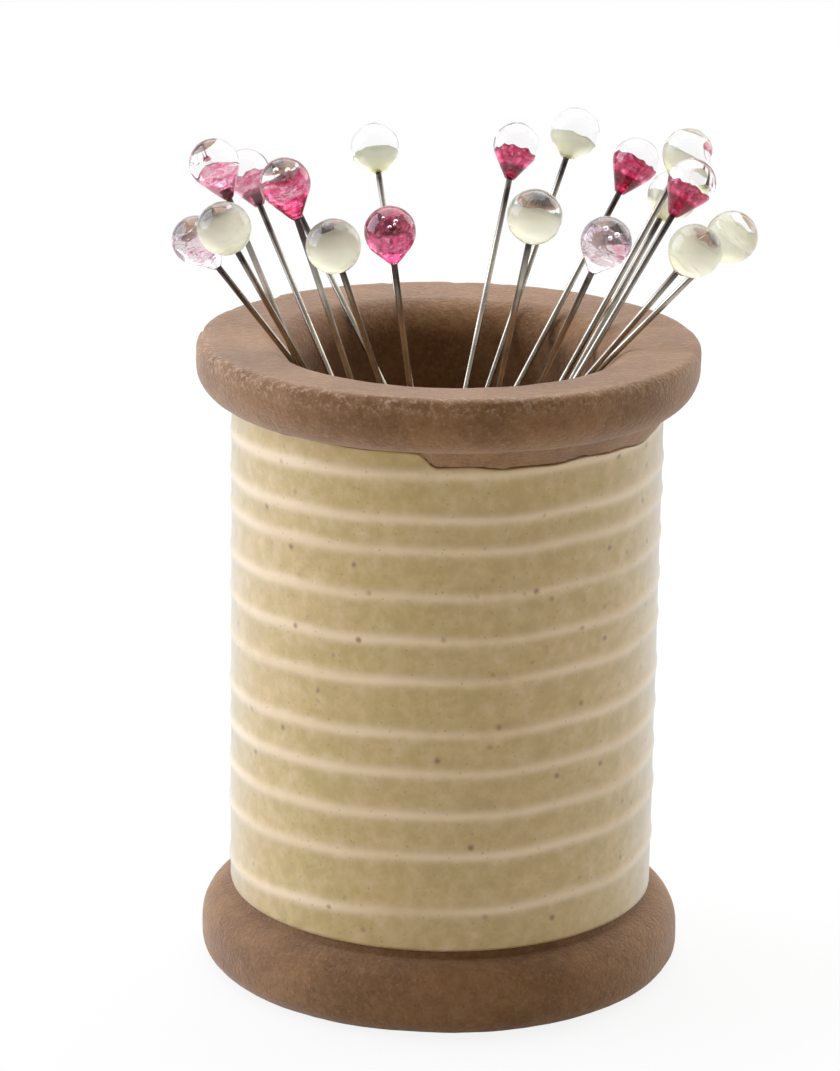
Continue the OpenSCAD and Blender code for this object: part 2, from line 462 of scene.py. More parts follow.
def roughen(piece, name, grain, rise, detail=2):
    """Uneven clay: cloud-like lumps of a given size, pushed out or in along the surface"""
    clouds = bpy.data.textures.new(name, "CLOUDS")
    clouds.noise_scale = grain
    clouds.noise_depth = detail
    lumps = piece.modifiers.new(name, "DISPLACE")
    lumps.texture = clouds
    lumps.texture_coords = "LOCAL"
    lumps.strength = rise
    lumps.mid_level = 0.6
    deselect_all()
    piece.select_set(True)
    bpy.context.view_layer.objects.active = piece
    bpy.ops.object.modifier_apply(modifier=lumps.name)


def dress(piece, material):
    """Gives a piece, or a node of the frame, its one material"""
    piece.data.materials.clear()
    piece.data.materials.append(material)


def copied(piece, name, place):
    """A copy with a mesh of its own, put in its place"""
    twin = bpy.data.objects.new(name, piece.data.copy())
    twin.data.name = name
    twin.data.transform(place)
    bpy.context.scene.collection.objects.link(twin)
    return twin


# Material helpers


def blank_material(name):
    """A new material with its tree, its Principled shader and its object coordinates"""
    material = bpy.data.materials.new(name)
    material.use_nodes = True
    tree = material.node_tree
    shader = tree.nodes["Principled BSDF"]
    coordinates = tree.nodes.new("ShaderNodeTexCoord")
    return material, tree, shader, coordinates.outputs["Object"]


def noise_node(tree, vector, size, detail=3.0, roughness=0.55, stretch=(1, 1, 1)):
    """Noise whose features are about the given size, in metres"""
    mapping = tree.nodes.new("ShaderNodeMapping")
    mapping.inputs["Scale"].default_value = stretch
    tree.links.new(vector, mapping.inputs["Vector"])
    texture = tree.nodes.new("ShaderNodeTexNoise")
    texture.inputs["Scale"].default_value = 1 / size
    texture.inputs["Detail"].default_value = detail
    texture.inputs["Roughness"].default_value = roughness
    tree.links.new(mapping.outputs["Vector"], texture.inputs["Vector"])
    return texture.outputs["Fac"]


def speck_node(tree, vector, spacing):
    """Distance to scattered specks, as a share of their spacing"""
    texture = tree.nodes.new("ShaderNodeTexVoronoi")
    texture.inputs["Scale"].default_value = 1 / spacing
    tree.links.new(vector, texture.inputs["Vector"])
    return texture.outputs["Distance"]


def ranged(tree, value, low, high, to_low=0.0, to_high=1.0):
    """A value mapped from one range to another, and held inside it"""
    node = tree.nodes.new("ShaderNodeMapRange")
    node.inputs["From Min"].default_value = low
    node.inputs["From Max"].default_value = high
    node.inputs["To Min"].default_value = to_low
    node.inputs["To Max"].default_value = to_high
    tree.links.new(value, node.inputs["Value"])
    return node.outputs["Result"]


def mixed(tree, factor, a, b):
    """Two colours, or outputs that give a colour, mixed by an output"""
    node = tree.nodes.new("ShaderNodeMix")
    node.data_type = "RGBA"
    tree.links.new(factor, node.inputs["Factor"])
    for socket, source in ((node.inputs["A"], a), (node.inputs["B"], b)):
        pick_colour(tree, socket, source)
    return node.outputs["Result"]


def pick_colour(tree, socket, source):
    """Sets a colour socket from a colour, or links it to an output"""
    if isinstance(source, bpy.types.NodeSocket):
        tree.links.new(source, socket)
    else:
        socket.default_value = source


def sums(tree, operation, a, b):
    """Two values, or outputs that give a value, joined by an operation"""
    node = tree.nodes.new("ShaderNodeMath")
    node.operation = operation
    for socket, source in zip(node.inputs, (a, b)):
        if isinstance(source, bpy.types.NodeSocket):
            tree.links.new(source, socket)
        else:
            socket.default_value = source
    return node.outputs["Value"]


def bumped(tree, shader, height, distance, strength=1.0):
    """A bump on the shader"""
    node = tree.nodes.new("ShaderNodeBump")
    node.inputs["Strength"].default_value = strength
    node.inputs["Distance"].default_value = distance
    tree.links.new(height, node.inputs["Height"])
    tree.links.new(node.outputs["Normal"], shader.inputs["Normal"])


def painted(tree, name):
    """A value painted on the mesh's points"""
    node = tree.nodes.new("ShaderNodeAttribute")
    node.attribute_name = name
    return node.outputs["Fac"]


# Finishes


def stoneware(colours):
    """Bare stoneware: brown clay, mottled, with fine pale and dark grains and a dry, sandy surface"""
    material, tree, shader, place = blank_material("stoneware")
    patches = noise_node(tree, place, 6 * MM, detail=5, roughness=0.55)
    blots = noise_node(tree, place, 1.0 * MM, detail=5, roughness=0.75)
    grains = noise_node(tree, place, 0.3 * MM, detail=4, roughness=0.7)
    sand = noise_node(tree, place, 0.45 * MM, detail=3, roughness=0.6)
    colour = mixed(tree, ranged(tree, patches, 0.36, 0.62, 0.1, 1), colours.clay_dark, colours.clay)
    colour = mixed(tree, ranged(tree, blots, 0.48, 0.75, 0, 0.4), colour, colours.clay_pale)
    colour = mixed(tree, ranged(tree, blots, 0.5, 0.3, 0, 0.6), colour, colours.clay_dark)
    colour = mixed(tree, ranged(tree, grains, 0.54, 0.66, 0, 0.35), colour, colours.clay_pale)
    pits = [c * 0.4 for c in colours.clay_dark[:3]] + [1]
    colour = mixed(tree, ranged(tree, grains, 0.42, 0.32, 0, 0.4), colour, pits)
    flecks = sums(tree, "MULTIPLY", painted(tree, "rubbed"), ranged(tree, sand, 0.52, 0.62))
    colour = mixed(tree, flecks, colour, (0.52, 0.35, 0.24, 1))
    tree.links.new(colour, shader.inputs["Base Color"])
    shader.inputs["Roughness"].default_value = 0.7
    shader.inputs["Specular IOR Level"].default_value = 0.3
    shader.inputs["Sheen Weight"].default_value = 0.43
    shader.inputs["Sheen Roughness"].default_value = 0.5
    shader.inputs["Sheen Tint"].default_value = (1, 0.88, 0.78, 1)
    height = sums(tree, "ADD", grains, sums(tree, "MULTIPLY", sand, 1.5))
    bumped(tree, shader, height, 0.13 * MM, 0.6)
    return material


def glaze_finish(colours):
    """Satin glaze: khaki with greenish patches, the pale line painted on the mesh, and iron specks"""
    material, tree, shader, place = blank_material("line_glaze")
    patches = noise_node(tree, place, 9 * MM, detail=4)
    clouds = noise_node(tree, place, 1.6 * MM, detail=4, roughness=0.65)
    line = painted(tree, "pale_line")
    colour = mixed(tree, ranged(tree, patches, 0.42, 0.68), colours.glaze, colours.glaze_green)
    # A darker green, used just below each pale line and in the dark clouds
    darker_green = [c * 0.8 for c in colours.glaze_green[:3]] + [1]
    # Glaze darker green just below each pale line
    colour = mixed(tree, sums(tree, "MULTIPLY", painted(tree, "darker_green"), 0.55), colour, darker_green)
    colour = mixed(tree, ranged(tree, clouds, 0.46, 0.72, 0, 0.35), colour, colours.glaze_line)
    colour = mixed(tree, ranged(tree, clouds, 0.48, 0.3, 0, 0.6), colour, darker_green)
    colour = mixed(tree, line, colour, colours.glaze_line)
    near = speck_node(tree, place, 2.3 * MM)
    sparse = ranged(tree, noise_node(tree, place, 2.6 * MM, detail=1), 0.45, 0.54)
    specks = sums(tree, "MULTIPLY", ranged(tree, near, 0.17, 0.04), sparse)
    fine = sums(tree, "MULTIPLY", ranged(tree, speck_node(tree, place, 0.8 * MM), 0.16, 0.05), 0.5)
    dots = sums(tree, "MAXIMUM", specks, fine)
    colour = mixed(tree, sums(tree, "MULTIPLY", dots, 0.85), colour, colours.speck)
    tree.links.new(colour, shader.inputs["Base Color"])
    tree.links.new(ranged(tree, clouds, 0.3, 0.7, 0.4, 0.52), shader.inputs["Roughness"])
    shader.inputs["Coat Weight"].default_value = 1.0
    shader.inputs["Coat Roughness"].default_value = 0.45
    shader.inputs["Coat IOR"].default_value = 1.6
    shader.inputs["Sheen Weight"].default_value = 0.65
    shader.inputs["Sheen Roughness"].default_value = 0.4
    shader.inputs["Sheen Tint"].default_value = (0.78, 0.9, 1, 1)
    height = sums(tree, "ADD", clouds, sums(tree, "MULTIPLY", patches, 2.0))
    bumped(tree, shader, height, 0.08 * MM, 0.6)
    return material


def steel_finish(colours):
    """Drawn steel wire: fine scratches along it, a little tarnish, and a painted dark reflection towards
    the head
    """
    material, tree, shader, place = blank_material("pin_steel")
    tarnish = noise_node(tree, place, 2.5 * MM, detail=3)
    dark = [c * 0.6 for c in colours.steel[:3]] + [1]
    colour = mixed(tree, ranged(tree, tarnish, 0.4, 0.7), colours.steel, dark)
    # Painted dark reflection: the shaft darkens towards its head, unevenly with the tarnish
    reflection_fade = sums(tree, "MULTIPLY", painted(tree, "painted_dark_reflection"), ranged(tree, tarnish, 0.3, 0.7, 1.3, 0.7))
    colour = mixed(tree, ranged(tree, reflection_fade, 0.1, 0.8), colour, colours.painted_dark_reflection)
    tree.links.new(colour, shader.inputs["Base Color"])
    shader.inputs["Metallic"].default_value = 1.0
    tree.links.new(ranged(tree, tarnish, 0.3, 0.7, 0.16, 0.3), shader.inputs["Roughness"])
    return material


def plated_finish():
    """Dull nickel plate on the magnet, with fine rubbed scratches"""
    material, tree, shader, place = blank_material("magnet_plate")
    rub = noise_node(tree, place, 0.5 * MM, detail=4, stretch=(1, 0.08, 1))
    colour = mixed(tree, ranged(tree, rub, 0.35, 0.65), (0.24, 0.24, 0.25, 1), (0.34, 0.34, 0.34, 1))
    tree.links.new(colour, shader.inputs["Base Color"])
    shader.inputs["Metallic"].default_value = 1.0
    tree.links.new(ranged(tree, rub, 0.3, 0.7, 0.42, 0.58), shader.inputs["Roughness"])
    bumped(tree, shader, rub, 0.01 * MM, 0.4)
    return material


def adhesive_finish():
    """Cured adhesive, slightly cloudy"""
    material, tree, shader, place = blank_material("adhesive")
    cloud = noise_node(tree, place, 1.2 * MM)
    colour = mixed(tree, cloud, (0.36, 0.36, 0.32, 1), (0.55, 0.54, 0.48, 1))
    tree.links.new(colour, shader.inputs["Base Color"])
    shader.inputs["Roughness"].default_value = 0.4
    return material


def see_through(name, colour, bending):
    """Clear glass, or the air in it, which bends light the other way"""
    material, _, shader, _ = blank_material(name)
    shader.inputs["Base Color"].default_value = colour
    shader.inputs["Transmission Weight"].default_value = 1.0
    shader.inputs["IOR"].default_value = bending
    shader.inputs["Roughness"].default_value = 0.0
    return material


def clear_glass():
    """Clear glass of the heads"""
    return see_through("clear_glass", (0.95, 0.95, 0.95, 1), 1.5)


def cream_finish(colours):
    """Opaque cream glass, yellower towards the neck"""
    material, tree, shader, place = blank_material("cream_glass")
    swirl = noise_node(tree, place, 1.5 * MM, detail=3)
    height = sums(tree, "ADD", painted(tree, "up_head"), ranged(tree, swirl, 0.3, 0.7, -0.15, 0.15))
    colour = mixed(tree, ranged(tree, height, 0.0, 0.5), colours.cream_neck, colours.cream)
    tree.links.new(colour, shader.inputs["Base Color"])
    shader.inputs["Roughness"].default_value = 1.0
    shader.inputs["IOR"].default_value = 1.25
    shader.inputs["Transmission Weight"].default_value = 0.9
    shader.inputs["Subsurface Weight"].default_value = 0.9
    shader.inputs["Subsurface Radius"].default_value = (1.0, 1.0, 0.8)
    shader.inputs["Subsurface Scale"].default_value = 1.5 * MM
    return material


def rose_finish(colours, name, light, dark, streak):
    """Rose glass in a clear head: see-through colour, streaked along the pin, with bright flaws"""
    material, tree, shader, place = blank_material(name)
    upright = tree.nodes.new("ShaderNodeAttribute")
    upright.attribute_name = "upright"
    streaks = noise_node(tree, upright.outputs["Vector"], 0.7 * MM, detail=3, stretch=(1, 1, 0.35))
    flaws = noise_node(tree, place, 0.45 * MM, detail=2)
    colour = mixed(tree, ranged(tree, streaks, streak, streak + 0.16), light, dark)
    colour = mixed(tree, ranged(tree, flaws, 0.54, 0.64, 0, 0.75), colour, (0.98, 0.7, 0.8, 1))
    tree.links.new(colour, shader.inputs["Base Color"])
    shader.inputs["Transmission Weight"].default_value = 0.82
    shader.inputs["IOR"].default_value = 1.12
    shader.inputs["Roughness"].default_value = 0.05
    bumped(tree, shader, flaws, 0.3 * MM, 1.0)
    return material


def bubble_glass():
    """Air bubbles in the glass"""
    return see_through("air_bubble", (1, 1, 1, 1), 0.67)


# Operators


class PINBOWL_OT_spool(bpy.types.Operator):
    """Turns the stoneware spool, with its well, its rounded lip and the hollow underneath"""

    bl_idname = "pinbowl.spool"
    bl_label = "Stoneware Spool"

    def execute(self, context):
        sizes = context.scene.pin_bowl_sizes
        spool = turned("spool_clay", self.outline(sizes), sizes.segments)
        roughen(spool, "handmade_lumps", 7 * MM, 0.2 * MM)
        roughen(spool, "coarse_grain", 1.2 * MM, 0.04 * MM, 1)
        points = places(spool)
        points[:, 2] = np.clip(points[:, 2], 0, BODY_HEIGHT)
        reach = np.hypot(points[:, 0], points[:, 1])
        largest = np.where(self.under_glaze(points), sizes.barrel_radius - 0.05 * MM, RIM_RADIUS)
        points[:, :2] *= np.minimum(1, largest / np.maximum(reach, MM))[:, None]
        self.lap(points, sizes)
        paint(spool, "rubbed", self.chip(points))
        set_places(spool, points)
        dress(spool, stoneware(context.scene.pin_bowl_colours))
        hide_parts("spool_body")
        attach(spool, "bowl")
        return {"FINISHED"}

    def under_glaze(self, points):
        """Which points the glaze covers"""
        height = points[:, 2]
        inside = np.hypot(points[:, 0], points[:, 1]) < INSIDE_WALL
        return (height > GLAZE_LOW.z + 0.3 * MM) & (height < RIM_LOW - 0.3 * MM) & ~inside

    def lap(self, points, sizes):
        """Pulls the rim's clay down over the glaze's edge where it laps it, sloping in to the glaze"""
        angle = np.arctan2(points[:, 1], points[:, 0])
        depth = lap_depth(angle)
        reach = np.maximum(np.hypot(points[:, 0], points[:, 1]), MM)
        above = points[:, 2] - (RIM_LOW - depth)
        lapped = (reach > INSIDE_WALL) & (depth > 0.1 * MM) & (above > 0) & (above < depth + MM)
        slope = sizes.barrel_radius + sizes.glaze_thickness + 0.1 * MM + 0.75 * above
        points[:, :2] *= np.where(lapped, np.maximum(slope / reach, 1), 1)[:, None]

    def chip(self, points):
        """Chips the rim's top edge, most of all at the front's left, and gives how rubbed each point is"""
        reach = np.hypot(points[:, 0], points[:, 1])
        rubbed = np.zeros(len(points))
        near = (reach > RIM_RADIUS - 1.6 * MM) & (points[:, 2] > BODY_HEIGHT - 2.4 * MM)
        for index in np.flatnonzero(near):
            spot = Vector(points[index])
            left = 0.5 + 0.5 * math.cos(math.atan2(spot.y, spot.x) - FRONT_LEFT)
            edge = math.hypot(reach[index] - RIM_RADIUS + 0.4 * MM, spot.z - BODY_HEIGHT + 0.4 * MM)
            rubbed[index] = max(0, 1 - edge / (1.6 * MM)) * (0.08 + 0.67 * left)
            bite = max(0, noise.noise(spot * 700) + 0.4 * noise.noise(spot * 1900) - 0.38 + 0.25 * left)
            outward = np.array([spot.x / reach[index], spot.y / reach[index], 0.8])
            points[index] -= min(bite * 0.5, 0.3) * MM * max(0, 1 - edge / (1.2 * MM)) * outward
        return rubbed

    def outline(self, sizes):
        """From the hollow's ceiling down, round the base, up the barrel, over the rim and into the well"""
        ceiling = WELL_FLOOR - sizes.clay_thickness
        well, corner = sizes.well_radius, HOLLOW_CORNER
        edge, foot, bevel = HOLLOW_EDGE, sizes.foot_round, sizes.flange_round
        shoulder = (sizes.base_radius - bevel, sizes.base_height - bevel)
        meet = math.degrees(math.acos((sizes.barrel_radius - shoulder[0]) / bevel))
        band = RIM_LOW + bevel
        lip = (well + sizes.lip_round, BODY_HEIGHT - sizes.lip_fall - sizes.lip_round)
        rim_edge = (RIM_RADIUS - sizes.rim_edge, BODY_HEIGHT - sizes.rim_edge)
        hollow = [(0, ceiling)]
        hollow += arc((well - corner, ceiling - corner), corner, 90, 0, 6)
        hollow += [(well, edge), (well + edge, 0)]
        base = [(well + edge, 0)] + arc((sizes.base_radius - foot, foot), foot, -90, 0, 8)
        base += arc(shoulder, bevel, 0, meet, 12)
        rim = arc((RIM_RADIUS - bevel, band), bevel, -90, 0, 12)
        rim += arc(rim_edge, sizes.rim_edge, 0, 90, 6)
        rim += arc(lip, sizes.lip_round, 90, 180, 12) + [(well, lip[1] - 4 * MM)]
        well_side = [rim[-1]]
        well_side += arc((well - WELL_CORNER, WELL_FLOOR + WELL_CORNER), WELL_CORNER, 0, -90, 6)
        well_side += [(0, WELL_FLOOR)]
        points = divided(hollow, 3 * MM) + divided(base, 0.4 * MM)[1:]
        lap_end = (sizes.barrel_radius, RIM_LOW - 2 * MM)
        points += divided([base[-1], lap_end], 4 * MM)[1:]
        points += divided([lap_end, rim[0]], 0.15 * MM)[1:-1]
        points += divided(rim, 0.32 * MM) + divided(well_side, 1.2 * MM)[1:]
        return points


def lap_depth(angle):
    """How far the rim's clay laps over the glaze: it starts in a step at the front and ends at the right"""
    start = np.clip((np.degrees(angle) + 98) / 5, 0, 1)
    end = np.clip((12 - np.degrees(angle)) / 40, 0, 1)
    waves = 0.12 * np.sin(angle * 9) + 0.07 * np.sin(angle * 23 + 1)
    depth = (1.3 + waves) * start * (3 - 2 * start) * start * end
    return np.maximum(depth, 0) * MM


def line_height(turns):
    """Height of the pale line after that many turns from the front of its lowest one, smoothly drawn"""
    heights = np.array(LINE_HEIGHTS) * MM
    last = len(heights) - 1
    whole = np.floor(turns).astype(int)
    part = turns - whole
    before, here, after, beyond = (heights[np.clip(whole + k, 0, last)] for k in (-1, 0, 1, 2))
    slope_in, slope_out = (after - before) / 2, (beyond - here) / 2
    square, cube = part**2, part**3
    start = (2 * cube - 3 * square + 1) * here + (cube - 2 * square + part) * slope_in
    return start + (3 * square - 2 * cube) * after + (cube - square) * slope_out


class PINBOWL_OT_glaze(bpy.types.Operator):
    """Models the glaze on the barrel, with its rolled lower edge and the pale line wound round it"""

    bl_idname = "pinbowl.glaze"
    bl_label = "Glaze"

    def execute(self, context):
        sizes = context.scene.pin_bowl_sizes
        outer = sizes.barrel_radius + sizes.glaze_thickness
        inner = sizes.barrel_radius - 0.1 * MM
        roll = GLAZE_ROLL
        low, high = GLAZE_LOW.z, GLAZE_HIGH.z
        outline = arc((outer - roll, low + roll), roll, -90, 0, 4)
        outline += arc((outer - 0.2 * MM, high - 0.25 * MM), 0.2 * MM, 0, 90, 4)
        outline = divided(outline, 0.2 * MM) + [(inner, high - 0.05 * MM), (inner, low)]
        glaze = turned("glaze_sleeve", outline, sizes.segments, ring=True)
        self.shape(glaze, sizes, outer)
        dress(glaze, glaze_finish(context.scene.pin_bowl_colours))
        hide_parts("barrel_glaze")
        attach(glaze, "bowl")
        return {"FINISHED"}

    def shape(self, glaze, sizes, outer):
        """Raises the line, waves the edges, paints where the line is and how much darker the glaze is just
        below it
        """
        points = places(glaze)
        angle = np.arctan2(points[:, 1], points[:, 0])
        upper = np.clip((points[:, 2] - LAP_FROM) / (GLAZE_HIGH.z - LAP_FROM), 0, 1)
        points[:, 2] -= upper * lap_depth(angle)
        turn = ((angle + math.pi / 2) / (2 * math.pi) + 0.5) % 1.0 - 0.5
        reach = np.hypot(points[:, 0], points[:, 1])
        skin = reach > outer - 0.1 * MM
        wander = np.array([noise.noise(Vector((x, y, 0)) * 130) for x, y, _ in points])
        nearest = np.full(len(points), 1.0)
        below = np.full(len(points), 1.0)
        for k in range(len(LINE_HEIGHTS) - 1):
            under = line_height(turn + k) + wander * 0.25 * MM - points[:, 2]
            nearest = np.minimum(nearest, np.abs(under))
            below = np.where(under > 0, np.minimum(below, under), below)
        line = np.exp(-((nearest / sizes.line_spread) ** 2))
        # How much darker green the glaze is just below each line, fading over about 1.6 mm
        darker_below_line = np.exp(-below / (1.6 * MM)) * (1 - line)
        fade = np.array([noise.noise(Vector(p) * 90 + Vector((3, 5, 7))) for p in points])
        swell = np.array([noise.noise(Vector(p) * 160) for p in points])
        rise = sizes.line_rise * line + 0.06 * MM * swell
        scale = 1 + np.where(skin, rise / reach, 0)
        points[:, 0] *= scale
        points[:, 1] *= scale
        set_places(glaze, points)
        paint(glaze, "pale_line", np.clip(line * (0.75 + 0.5 * fade), 0, 1))
        paint(glaze, "darker_green", darker_below_line)


class PINBOWL_OT_magnet(bpy.types.Operator):
    """Finishes the disc magnet and the adhesive under it"""

    bl_idname = "pinbowl.magnet"
    bl_label = "Magnet"

    def execute(self, context):
        dress(frame["nodes"]["magnet"], plated_finish())
        dress(frame["nodes"]["magnet_bond"], adhesive_finish())
        return {"FINISHED"}


def pin_place(name):
    """Where a pin stands: its point goes to the origin's place and its axis to the joint's"""
    axis = Vector(next(joint["axis"] for joint in frame["joints"] if joint["child"] == name)).normalized()
    low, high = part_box(name + "_head")
    radius = min(high - low) / 2
    centre = Vector(high[k] - radius if axis[k] > 0 else low[k] + radius for k in range(3))
    point = centre - axis * bpy.context.scene.pin_bowl_sizes.shaft_length
    return Matrix.Translation(point) @ Vector((0, 0, 1)).rotation_difference(axis).to_matrix().to_4x4()


class PINBOWL_OT_shafts(bpy.types.Operator):
    """Turns the pins' steel shafts, each ground to a point"""

    bl_idname = "pinbowl.shafts"
    bl_label = "Pin Shafts"

    def execute(self, context):
        sizes = context.scene.pin_bowl_sizes
        radius, taper = sizes.shaft_radius, TAPER_LENGTH
        steel = steel_finish(context.scene.pin_bowl_colours)
        for name in PINS:
            end = sizes.shaft_length + HEADS[name][1] * MM
            outline = [(0, 0), (0.04 * MM, 0.02 * MM), (radius * 0.94, taper * 0.9), (radius, taper)]
            outline += [(radius, end - 0.1 * MM), (radius - 0.1 * MM, end), (0, end)]
            upright = turned("pin_shaft", divided(outline, 1 * MM), SHAFT_SEGMENTS)
            # Length below the head over which the painted dark reflection fades out
            reflection_fade = 9 * MM if name.startswith("rose") else 4 * MM
            below = sizes.shaft_length - 2.5 * MM - places(upright)[:, 2]
            paint(upright, "painted_dark_reflection", np.clip(1 - below / reflection_fade, 0, 1))
            dress(upright, steel)
            shaft = copied(upright, name + "_wire", pin_place(name))
            bpy.data.objects.remove(upright)
            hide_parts(name + "_shaft")
            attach(shaft, name)
        return {"FINISHED"}


def head_outline(radius, neck, drop, inset):
    """A ball drawn down to its neck, from below upwards, or the same set in by the clear skin"""
    angle = math.degrees(math.acos(radius / math.hypot(neck, drop)) - math.atan2(drop, neck))
    points = [(0, inset - drop), (neck - inset / 2, inset - drop)]
    points += divided(arc((0, 0), radius - inset, angle, 90, 28), 0.3 * MM)
    return divided(points[:-1], 0.3 * MM) + [(0, radius - inset)]


def filled_to(outline, level):
    """The part of an outline below a level, closed across the top"""
    kept = [point for point in outline if point[1] < level]
    a, b = kept[-1], outline[len(kept)]
    brim = a[0] + (b[0] - a[0]) * (level - a[1]) / (b[1] - a[1])
    return kept + divided([(brim, level), (0, level)], 0.3 * MM)


def paint_upright(head, low, high):
    """Keeps each point's place in the upright head, and how far up it is, before it goes on its pin"""
    points = places(head)
    spot = head.data.attributes.new("upright", "FLOAT_VECTOR", "POINT")
    spot.data.foreach_set("vector", points.ravel().astype(np.float32))
    paint(head, "up_head", np.clip((points[:, 2] - low) / (high - low), 0, 1))


def ragged(head, level, rise):
    """Makes the top of a coloured core uneven, as the molten glass left it"""
    points = places(head)
    near = np.clip((points[:, 2] - level + 0.5 * MM) / (0.5 * MM), 0, 1)
    bumps = [noise.noise(Vector((x, y, level)) * 1400) for x, y, _ in points]
    points[:, 2] += rise * near * np.array(bumps)
    set_places(head, points)


def clear_shell(name, radius, drop, sizes):
    """The clear glass of a head, with a slight ripple"""
    shell = turned(name, head_outline(radius - SHELL_PLAY, sizes.neck_radius, drop, 0), HEAD_SEGMENTS)
    roughen(shell, "glass_ripple", RIPPLE_SIZE, RIPPLE_RISE, 1)
    dress(shell, clear_glass())
    return shell


class PINBOWL_OT_cream_heads(bpy.types.Operator):
    """Models the round heads: clear glass balls filled with opaque cream glass up to a level"""

    bl_idname = "pinbowl.cream_heads"
    bl_label = "Cream Heads"

    def execute(self, context):
        sizes = context.scene.pin_bowl_sizes
        radius, drop = CREAM_RADIUS, CREAM_DROP
        shell = clear_shell("cream_shell", radius, drop, sizes)
        cream = cream_finish(context.scene.pin_bowl_colours)
        inside = head_outline(radius, sizes.neck_radius, drop, sizes.glass_skin)
        for name in PINS:
            if name.startswith("cream"):
                level = HEADS[name][0] * MM
                core = turned("cream_core", filled_to(inside, level), HEAD_SEGMENTS)
                ragged(core, level, 0.15 * MM)
                paint_upright(core, -drop, level)
                dress(core, cream)
                place_head(name, shell, core)
        bpy.data.objects.remove(shell)
        return {"FINISHED"}


class PINBOWL_OT_rose_heads(bpy.types.Operator):
    """Models the drop-shaped heads: clear glass with rose glass in the neck's half"""

    bl_idname = "pinbowl.rose_heads"
    bl_label = "Rose Heads"

    def execute(self, context):
        sizes = context.scene.pin_bowl_sizes
        colours = context.scene.pin_bowl_colours
        radius, drop = ROSE_RADIUS, ROSE_DROP
        shell = clear_shell("rose_shell", radius, drop, sizes)
        inside = head_outline(radius, sizes.neck_radius, drop, sizes.glass_skin)
        bright = rose_finish(colours, "rose_glass", colours.rose, colours.rose_dark, 0.4)
        shade = [c * 0.5 for c in colours.rose_dark[:3]] + [1]
        deep = rose_finish(colours, "deep_rose_glass", colours.rose, shade, 0.45)
        pale = rose_finish(colours, "pale_rose_glass", colours.rose_pale, colours.rose, 0.45)
        streaked = rose_finish(colours, "streaked_rose_glass", (0.97, 0.86, 0.9, 1), colours.rose, 0.56)
        looks = {name: pale for name in PALE_ROSE}
        looks |= {name: streaked for name in STREAKED_ROSE}
        looks |= {name: deep for name in DEEP_ROSE}
        air = bubble_glass()
        for name in PINS:
            if name.startswith("rose"):
                level = HEADS[name][0] * MM
                core = turned("rose_core", filled_to(inside, level), HEAD_SEGMENTS)
                ragged(core, level, 0.4 * MM)
                paint_upright(core, -drop, level)
                dress(core, looks.get(name, bright))
                place_head(name, shell, core)
                if name in BUBBLES:
                    self.bubbles(name, air)
        bpy.data.objects.remove(shell)
        return {"FINISHED"}

    def bubbles(self, name, air):
        """Air bubbles of several sizes in a ring on the pin's axis"""
        deselect_all()
        turns = [NEXT_TURN * k for k in range(BUBBLES[name])]
        spots = [Vector((BUBBLE_RING * math.cos(a), BUBBLE_RING * math.sin(a), 0)) for a in turns]
        bpy.ops.mesh.primitive_uv_sphere_add(
            segments=20, ring_count=12, radius=BUBBLE_RADIUS, location=spots[0]
        )
        cluster = bpy.context.object
        bpy.ops.object.transform_apply(location=True)
        bpy.ops.object.mode_set(mode="EDIT")
        for here, there in zip(spots, spots[1:]):
            bpy.ops.mesh.duplicate_move(TRANSFORM_OT_translate={"value": there - here})
            bpy.ops.transform.resize(value=[BUBBLE_SHRINK] * 3)
        bpy.ops.object.mode_set(mode="OBJECT")
        bpy.ops.object.shade_smooth()
        dress(cluster, air)
        up = bpy.context.scene.pin_bowl_sizes.shaft_length + BUBBLE_HEIGHT
        filled = copied(cluster, name + "_bubbles", pin_place(name) @ Matrix.Translation((0, 0, up)))
        bpy.data.objects.remove(cluster)
        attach(filled, name)


def place_head(name, shell, core):
    """Puts a copy of a head's shell and core on its pin"""
    up = Matrix.Translation((0, 0, bpy.context.scene.pin_bowl_sizes.shaft_length))
    place = pin_place(name) @ up @ Matrix.Rotation(PINS.index(name) * NEXT_TURN, 4, "Z")
    clear = copied(shell, name + "_clear", place)
    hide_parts(name + "_head")
    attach(clear, name)
    filled = copied(core, name + "_core", place)
    bpy.data.objects.remove(core)
    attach(filled, name)


